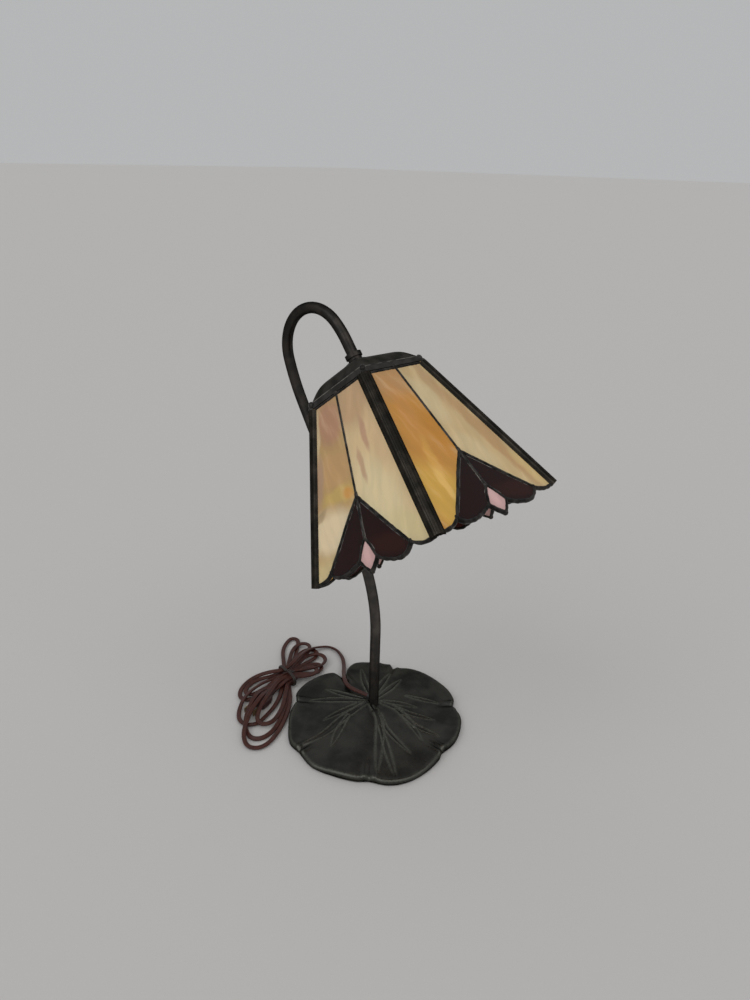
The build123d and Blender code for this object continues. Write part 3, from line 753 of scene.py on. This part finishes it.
def add_leaf(material):
    spokes, rings = 1080, 92
    turns, radii = leaf_outline(spokes)
    share = np.sin(0.5 * np.pi * np.linspace(0, 1, rings + 1)[1:]) ** 0.9
    reach = share[:, None] * radii[None, :]
    x = LEAF_MIDDLE.x + reach * np.cos(turns)
    y = LEAF_MIDDLE.y + reach * np.sin(turns)
    from_edge = radii[None, :] - reach
    z, veins = leaf_height(x, y, from_edge)
    middle_x, middle_y, middle_inset = np.array([[LEAF_MIDDLE.x], [LEAF_MIDDLE.y], [90.0]])
    middle_z = leaf_height(middle_x, middle_y, middle_inset)[0][0]
    verts = [(LEAF_MIDDLE.x, LEAF_MIDDLE.y, float(middle_z))]
    verts += list(zip(x.ravel().tolist(), y.ravel().tolist(), z.ravel().tolist()))

    # Rings down the edge and under it: how far in each lies, and its level.
    edge_low = z[-1].min() - 1.0
    for inset, level in ((0.25, edge_low), (0.9, LEAF_BOTTOM + 0.5), (1.8, LEAF_BOTTOM)):
        ring = radii - inset
        verts += [(LEAF_MIDDLE.x + r * math.cos(t), LEAF_MIDDLE.y + r * math.sin(t), level)
                  for r, t in zip(ring.tolist(), turns.tolist())]
    faces = []
    for j in range(spokes):
        faces.append((0, 1 + j, 1 + (j + 1) % spokes))
    for i in range(rings + 2):
        a, b = 1 + i * spokes, 1 + (i + 1) * spokes
        for j in range(spokes):
            k = (j + 1) % spokes
            faces.append((a + j, b + j, b + k, a + k))
    under = len(verts)
    verts.append((LEAF_MIDDLE.x, LEAF_MIDDLE.y, LEAF_BOTTOM))
    last = 1 + (rings + 2) * spokes
    for j in range(spokes):
        faces.append((under, last + (j + 1) % spokes, last + j))
    leaf = make_piece("leaf_foot", verts, faces, material, "lamp", ["leaf_base"])
    # Paler vein crests and a paler band inside the edge: partly worn metal, partly painted
    # highlight where ridges and edge catch the light.
    edge_wear_and_highlight = np.exp(-((from_edge - WEAR_AND_HIGHLIGHT_INSET) / WEAR_AND_HIGHLIGHT_WIDTH) ** 2)
    wear_and_highlight = np.clip(np.clip(veins, 0, None) + 0.5 * edge_wear_and_highlight, 0, 1)
    values = np.zeros(len(verts), np.float32)
    values[1:1 + wear_and_highlight.size] = wear_and_highlight.ravel()
    layer = leaf.data.attributes.new("wear_and_highlight", "FLOAT", "POINT")
    layer.data.foreach_set("value", values)
    return leaf


# ------------------------------------------------------------------------------- cord

CORD_WIDTH, CORD_THICK = 5.3, 2.8
CORD_STEP = 1.9
TWIST_EASE, TWIST_WAVE = 120.0, 210.0

# The free lead, from the bushing over the leaf, out round and back over the hank.
LEAD_ROUTE = [
    (-7.6, 0.0, 19.5), (-24.0, -2.5, 18.2), (-41.0, -3.0, 17.2), (-56.0, 6.0, 15.6),
    (-71.0, 20.5, 9.0), (-86.0, 36.5, 4.0), (-101.0, 49.0, 2.9), (-118.0, 55.5, 2.9),
    (-132.0, 53.5, 2.9), (-140.0, 41.0, 4.0), (-140.0, 27.0, 8.5), (-136.0, 12.0, 13.0),
    (-131.0, -2.0, 15.6), (-127.0, -15.0, 15.2),
]

TIE_AT = Vector((-118.5, -33.5))
TIE_ACROSS = Vector((math.cos(math.radians(-10)), math.sin(math.radians(-10))))
TIE_ALONG = Vector((-TIE_ACROSS.y, TIE_ACROSS.x))

# Where each strand passes the tie, in turn along the cord: its offset across and height.
TIE_STRANDS = [(-9, 13.0), (-12, 4.0), (-13, 7.0), (-7, 4.0), (-7, 7.0), (-1.5, 4.0),
               (-1.5, 7.0), (4, 4.0), (-3, 10.0), (9.5, 4.0), (3, 10.0), (9.5, 7.0),
               (8.5, 10.0)]
TIE_REACH = 5

# Loops of the hank between two passes of the tie: the height each rests at, and its route,
# with a height of its own where a point lies on other strands or on the plug.
HANK_LOOPS = [
    (2.9, [(-136, -46), (-146, -55), (-150.5, -68), (-147, -83), (-139, -95), (-128, -99),
           (-120, -92), (-117.5, -77), (-119, -57)]),
    (2.9, [(-138, -22), (-152, -11), (-165, -1), (-174, 9), (-180, 20), (-183, 31), (-173, 35),
           (-162, 23), (-149, 8), (-137, -8)]),
    (3.2, [(-133, -47), (-141, -58), (-144.5, -70), (-141, -83), (-132, -90), (-125, -83),
           (-124, -70), (-123, -55)]),
    (5.8, [(-134, -20), (-145, -6), (-155, 6), (-161, 18), (-161, 30), (-151, 35), (-141, 26),
           (-136, 11), (-129, -8)]),
    (2.9, [(-128, -49), (-132, -66, 6.0), (-130, -86, 6.0), (-123, -102, 6.0), (-113, -116),
           (-101, -125), (-88, -125), (-80, -114), (-84, -97), (-90, -78), (-103, -57)]),
    (2.9, [(-131, -18), (-139, -4), (-145, 8), (-149, 19), (-146, 30), (-136, 34), (-127, 27),
           (-125, 13), (-125, -4)]),
    (2.9, [(-124, -49), (-121, -68), (-114, -86, 13.8), (-106, -103, 12.0), (-96, -119, 6.2),
           (-81, -131), (-66, -135), (-57, -127), (-57, -111), (-65, -93), (-78, -74),
           (-93, -56)]),
    (5.8, [(-126, -16), (-132, 2), (-134, 14), (-130, 26), (-120, 31), (-109, 26), (-105, 15),
           (-107, 2), (-112, -13)]),
    (2.9, [(-121, -49), (-115, -68), (-106, -86, 13.8), (-98, -107, 12.0), (-88, -125, 6.2),
           (-74, -140, 5.8), (-59, -147), (-47, -139), (-46, -124), (-52, -107), (-62, -88),
           (-76, -68), (-92, -52)]),
    (2.9, [(-119, -16), (-120, -2), (-118, 11), (-109, 17), (-101, 10), (-99, -2), (-104, -15)]),
    (5.9, [(-117, -50), (-108, -68, 11.5), (-98, -86, 13.8), (-93, -101, 9.0), (-84, -112),
           (-73, -114), (-67, -104), (-71, -90), (-82, -72), (-96, -56)]),
    (6.0, [(-115, -17), (-116, -4), (-109, 5), (-100, 2), (-97, -9), (-103, -24)]),
]
PLUG_AT = Vector((-106.0, -84.0, 5.9))
PLUG_TURN = math.radians(282.0)


def strand_height(flat, rest, tie_height):
    """Height of a loop's point: on its rest far out, rising to the tie's height near it."""
    away = (Vector(flat) - TIE_AT).length
    near = 1 - float(smooth_step(np.array(away), 12.0, 55.0))
    return rest + (tie_height - rest) * near


def tie_pass(index, towards):
    """Two points of a strand inside the tie. towards is 1 going to +Y, -1 going to -Y."""
    offset, height = TIE_STRANDS[index]
    middle = TIE_AT + TIE_ACROSS * offset
    first = middle - TIE_ALONG * TIE_REACH * towards
    second = middle + TIE_ALONG * TIE_REACH * towards
    return [(first.x, first.y, height), (second.x, second.y, height)]


def cord_route():
    """Control points of the whole cord, from the bushing to the plug."""
    route = list(LEAD_ROUTE)
    towards = -1
    for index, (rest, loop) in enumerate(HANK_LOOPS):
        route += tie_pass(index, towards)
        start, end = TIE_STRANDS[index][1], TIE_STRANDS[index + 1][1]
        for order, (x, y, *own) in enumerate(loop):
            share = order / (len(loop) - 1)
            height = strand_height((x, y), rest, start * (1 - share) + end * share)
            route.append((x, y, own[0] if own else height))
        towards = -towards
    route += tie_pass(len(HANK_LOOPS), towards)
    back = Vector((math.cos(PLUG_TURN), math.sin(PLUG_TURN), 0)) * -1
    route.append((-110.5, -50, 8.0))
    route += [tuple(PLUG_AT + back * reach) for reach in (21, 10)]
    return route


def spline_points(route, name):
    """The route as a smooth NURBS line, sampled."""
    curve = bpy.data.curves.new(name, "CURVE")
    curve.dimensions = "3D"
    curve.resolution_u = 12
    spline = curve.splines.new("NURBS")
    spline.points.add(len(route) - 1)
    for point, place in zip(spline.points, route):
        point.co = (*(Vector(place) * MM), 1.0)
    spline.order_u = 3
    spline.use_endpoint_u = True
    holder = bpy.data.objects.new(name, curve)
    mesh = bpy.data.meshes.new_from_object(holder)
    points = [v.co / MM for v in mesh.vertices]
    bpy.data.objects.remove(holder)
    bpy.data.curves.remove(curve)
    bpy.data.meshes.remove(mesh)
    return evenly(points, CORD_STEP)


def flat_cord_ring():
    """Outline of a two-core flat cord: two round cores with a groove between."""
    core = CORD_THICK / 2
    centre = CORD_WIDTH / 2 - core
    open_angle = math.radians(128)
    steps = 7
    ring = []
    for sign in (1, -1):
        for i in range(steps + 1):
            angle = open_angle * (2 * i / steps - 1)
            ring.append((sign * (centre + core * math.cos(angle)), sign * core * math.sin(angle)))
    return ring


def add_cord(material):
    points = spline_points(cord_route(), "cord_line")
    along = tangents(points)
    wind = ripple(41, waves=4, length=TWIST_WAVE)
    sides, ups = [], []
    for i, direction in enumerate(along):
        level = Vector((0, 0, 1)).cross(direction).normalized()
        thin = direction.cross(level)
        ease = min(1.0, i * CORD_STEP / TWIST_EASE)
        twist = ease * (0.1 + 0.9 * wind(i * CORD_STEP))
        sides.append(level * math.cos(twist) + thin * math.sin(twist))
        ups.append(thin * math.cos(twist) - level * math.sin(twist))
    verts, faces = sweep(points, sides, ups, [flat_cord_ring()] * len(points))
    cord = make_piece("cord", verts, faces, material, "lamp", ["cord_lead", "cord_hank"])
    return cord


def add_tie(material):
    """Two turns of a narrow tie round the bundle, its ends twisted together on top."""
    half_width, half_height, middle, squareness = 17.6, 7.3, 8.7, 0.62
    turns, per_turn, spread = 2, 40, 3.4
    points = []
    for i in range(turns * per_turn + 1):
        angle = 2 * math.pi * i / per_turn + math.pi / 2
        a = half_width * boxy(math.cos(angle), squareness)
        z = middle + half_height * boxy(math.sin(angle), squareness)
        slide = spread * (i / (turns * per_turn) - 0.5)
        flat = TIE_AT + TIE_ACROSS * a + TIE_ALONG * slide
        points.append(Vector((flat.x, flat.y, z)))
    parts = [tube(evenly(points, 1.2), 1.15)]

    tail_step, swing, wind, tail_height = 0.9, 0.9, 0.6, 16.4
    for sign in (1, -1):
        tail = []
        for i in range(15):
            reach = tail_step * i
            out, up = swing * sign * math.cos(wind * i), swing * sign * math.sin(wind * i)
            flat = TIE_AT + TIE_ACROSS * (out + 0.55 * reach) + TIE_ALONG * (0.5 * reach + 0.6 * up)
            tail.append(Vector((flat.x, flat.y, tail_height + up - 0.02 * i)))
        parts.append(tube(tail, 0.8))
    verts, faces = join_up(parts)
    return make_piece("cord_tie_band", verts, faces, material, "lamp", ["cord_tie"])


def add_plug(material):
    """Moulded two-pin plug: a body waisted towards the cord, and its strain relief."""
    ahead = Vector((math.cos(PLUG_TURN), math.sin(PLUG_TURN), 0))
    across = Vector((-ahead.y, ahead.x, 0))
    profile = [(-24, 2.9, 2.0), (-20, 3.2, 2.3), (-15, 3.8, 2.8), (-11.5, 4.6, 3.4),
               (-10.5, 6.6, 4.4), (-8, 8.2, 5.0), (-4, 9.4, 5.3), (3, 9.9, 5.4), (8.5, 9.9, 5.4),
               (10.4, 9.5, 5.1), (11.0, 8.4, 4.3)]
    steps = 4
    centres, rings = [], []
    stops = [Vector(stop) for stop in profile]
    for a, b in zip(stops, stops[1:]):
        for i in range(steps):
            x, w, h = a.lerp(b, i / steps)
            groove = 0.35 * math.cos(x * 2.2) if -7 < x < 6 else 0.0
            centres.append(PLUG_AT + ahead * x)
            rings.append(rounded_box(w - groove, h))
    centres.append(PLUG_AT + ahead * stops[-1][0])
    rings.append(rounded_box(stops[-1][1], stops[-1][2]))
    count = len(centres)
    verts, faces = sweep(centres, [across] * count, [Vector((0, 0, 1))] * count, rings)
    return make_piece("plug_shell", verts, faces, material, "lamp", ["plug_body"])


# -------------------------------------------------------------------------- materials

def leaf_material():
    shader = Shader("leaf_bronze", metallic=0.9, Specular_Tint=(0.28, 0.28, 0.26, 1))
    cloud = shader.noise(26.0, 4.0)
    grain = shader.noise(2.2, 4.0)
    ground = shader.mix(shader.ramp(cloud, 0.35, 0.68), (0.036, 0.036, 0.034, 1),
                        (0.064, 0.062, 0.056, 1))
    wear_and_highlight = shader.attribute("wear_and_highlight")
    patchy = shader.times(wear_and_highlight, shader.ramp(grain, 0.32, 0.62, 0.35, 1.0))
    # The paler colour on vein crests and edge is partly wear and partly painted highlight.
    shader.set("Base Color", shader.mix(patchy, ground, (0.14, 0.14, 0.12, 1)))
    shader.set("Roughness", shader.ramp(grain, 0.3, 0.7, 0.27, 0.42))
    shader.bump(grain, 0.35, 0.14)
    return shader.material


# Heights in millimetres over which the painted shade and light of bronze_material run from its
# bottom level to its top level.
PAINTED_SHADE_LOW, PAINTED_SHADE_HIGH = 60, 440


def bronze_material(name, dark, light, roughness, edge, top=1.0, bottom=1.0):
    """edge is how much the metal keeps reflecting when seen at a slant; top and bottom scale its
    colour at the top and the bottom of the lamp's height, painted shade and light for how the light
    falls on it."""
    shader = Shader(name, metallic=0.92, Specular_Tint=(edge, edge, 0.94 * edge, 1))
    cloud = shader.noise(14.0, 4.0)
    grain = shader.noise(1.6, 3.0)
    colour = shader.mix(shader.ramp(cloud, 0.36, 0.66), dark, light)
    height = shader.add("SeparateXYZ", {0: shader.place()}).outputs["Z"]
    # Painted shade and light: the colour is scaled from the bottom level to the top level up the
    # lamp's height.
    painted_shade = shader.ramp(height, PAINTED_SHADE_LOW, PAINTED_SHADE_HIGH, bottom, top)
    shader.set("Base Color", shader.toned(colour, painted_shade))
    shader.set("Roughness", shader.ramp(grain, 0.3, 0.7, roughness - 0.07, roughness + 0.09))
    shader.bump(grain, 0.3, 0.05)
    return shader.material


def solder_material():
    shader = Shader("solder", metallic=0.85)
    lumps = shader.noise(3.2, 3.0)
    cloud = shader.noise(11.0, 3.0)
    colour = shader.mix(shader.ramp(cloud, 0.38, 0.66), (0.012, 0.011, 0.010, 1),
                        (0.052, 0.047, 0.042, 1))
    shader.set("Base Color", colour)
    shader.set("Roughness", shader.ramp(lumps, 0.3, 0.7, 0.26, 0.5))
    shader.bump(lumps, 0.5, 0.35)
    return shader.material


def plain_material(name, colour, roughness, metallic=0.0, grain=1.5, relief=0.04, spread=0.12,
                   **surface):
    """A finish with a slight change of tone and gloss over its surface."""
    shader = Shader(name, metallic=metallic, **surface)
    fine = shader.noise(grain, 3.0)
    darker = tuple(c * (1 - spread) for c in colour[:3]) + (1.0,)
    lighter = tuple(min(1.0, c * (1 + spread)) for c in colour[:3]) + (1.0,)
    shader.set("Base Color", shader.mix(shader.ramp(fine, 0.32, 0.68), darker, lighter))
    shader.set("Roughness", shader.ramp(fine, 0.3, 0.7, roughness - 0.05, roughness + 0.05))
    shader.bump(fine, 0.35, relief)
    return shader.material


def felt_material():
    shader = Shader("felt", roughness=0.95, Sheen_Weight=0.12)
    fibre = shader.noise(0.7, 5.0)
    shader.set("Base Color", shader.mix(fibre, (0.02, 0.032, 0.022, 1), (0.07, 0.095, 0.07, 1)))
    shader.bump(fibre, 0.8, 0.3)
    return shader.material


def make_finishes():
    """The materials that several nodes or pieces share, by name."""
    return {
        "leaf_bronze": leaf_material(),
        # The neck is painted darker towards its top and lighter low down: painted shade and light.
        "stem_bronze": bronze_material("stem_bronze", (0.046, 0.043, 0.040, 1),
                                       (0.080, 0.071, 0.063, 1), 0.36, edge=0.16,
                                       top=0.6, bottom=1.5),
        "shade_bronze": bronze_material("shade_bronze", (0.045, 0.044, 0.042, 1),
                                        (0.078, 0.073, 0.068, 1), 0.40, edge=0.35),
        # The ribs wear the cap's bronze painted darker: painted shade for their slant to the light.
        "rib_bronze_painted_shade": bronze_material("rib_bronze_painted_shade", (0.021, 0.019, 0.016, 1),
                                      (0.044, 0.038, 0.031, 1), 0.30, edge=0.3),
        "solder": solder_material(),
        # Pale metal for the painted highlights along the lead and round the cap's ledge.
        "painted_highlight": plain_material("painted_highlight", (0.17, 0.16, 0.145, 1), 0.38, 0.9, grain=9.0, spread=0.9,
                               relief=0.1),
        "felt": felt_material(),
        "cord": plain_material("cord", srgb(66, 33, 26), 0.42, grain=6.0, spread=0.22,
                               Specular_IOR_Level=0.3),
        "cord_tie": plain_material("cord_tie", (0.022, 0.013, 0.010, 1), 0.5),
        "plug": plain_material("plug", srgb(58, 34, 30), 0.45, grain=3.0),
        "brass": plain_material("brass", (0.62, 0.44, 0.19, 1), 0.3, 1.0, grain=5.0, spread=0.2),
        "dull_brass": plain_material("dull_brass", (0.20, 0.13, 0.06, 1), 0.45, 0.8, grain=4.0),
        "steel": plain_material("steel", (0.56, 0.56, 0.55, 1), 0.32, 1.0),
        "aluminium": plain_material("aluminium", (0.78, 0.78, 0.79, 1), 0.28, 1.0),
        "liner": plain_material("liner", (0.11, 0.085, 0.06, 1), 0.8, grain=0.9, spread=0.25),
        "black_plastic": plain_material("black_plastic", (0.014, 0.014, 0.014, 1), 0.38),
        "bulb_glass": bulb_material(),
    }


def bulb_material():
    shader = Shader("bulb_glass", colour=(0.86, 0.86, 0.83, 1), roughness=0.35)
    frost = shader.noise(0.8, 2.0)
    shader.set("Roughness", shader.ramp(frost, 0.3, 0.7, 0.3, 0.42))
    shader.let_through(0.35, (0.9, 0.9, 0.88, 1))
    return shader.material


# Which CAD nodes wear each finish. The glass has a material of its own for each piece.
FINISH_OF = {
    "leaf_bronze": ["leaf_base"],
    "felt": ["felt_pad"],
    "steel": ["base_washer", "base_locknut", "cap_washer", "cap_locknut", "switch_shaft"],
    "stem_bronze": ["neck_tube", "neck_collar"],
    "black_plastic": ["cord_bushing", "socket_body", "switch_knob"],
    "cord": ["inner_cord", "cord_lead", "cord_hank"],
    "shade_bronze": ["shade_cap"],
    "rib_bronze_painted_shade": ["rib_front_left", "rib_back_left", "rib_back_right", "rib_front_right"],
    "brass": ["cap_nipple", "socket_cap", "socket_shell", "socket_screw_shell", "socket_contact",
              "socket_terminals", "bulb_foot_contact"],
    "dull_brass": ["plug_blades"],
    "liner": ["socket_liner"],
    "aluminium": ["bulb_screw_base"],
    "bulb_glass": ["bulb_glass"],
    "solder": ["solder_joints", "front_lead", "left_lead", "back_lead", "right_lead"],
    "cord_tie": ["cord_tie"],
    "plug": ["plug_body"],
}


def paint(node, material):
    for holder in nodes[node].material_slots:
        holder.material = material


def main():
    add_camera()
    add_stage()
    finishes = make_finishes()
    for finish, names in FINISH_OF.items():
        for name in names:
            paint(name, finishes[finish])
    for face in FACES:
        for piece in GLASS_PIECES:
            paint(face + "_" + piece, glass_material(face, piece))
    for order, face in enumerate(FACES):
        add_lead(face, 100 * order + 7, finishes["solder"])
        # Painted highlights along the lead of each face.
        add_painted_highlights(face, 100 * order + 57, finishes["painted_highlight"])
    add_cap_highlight(finishes["painted_highlight"])
    add_leaf(finishes["leaf_bronze"])
    tie = add_tie(finishes["cord_tie"])
    plug = add_plug(finishes["plug"])
    add_cord(finishes["cord"])


main()
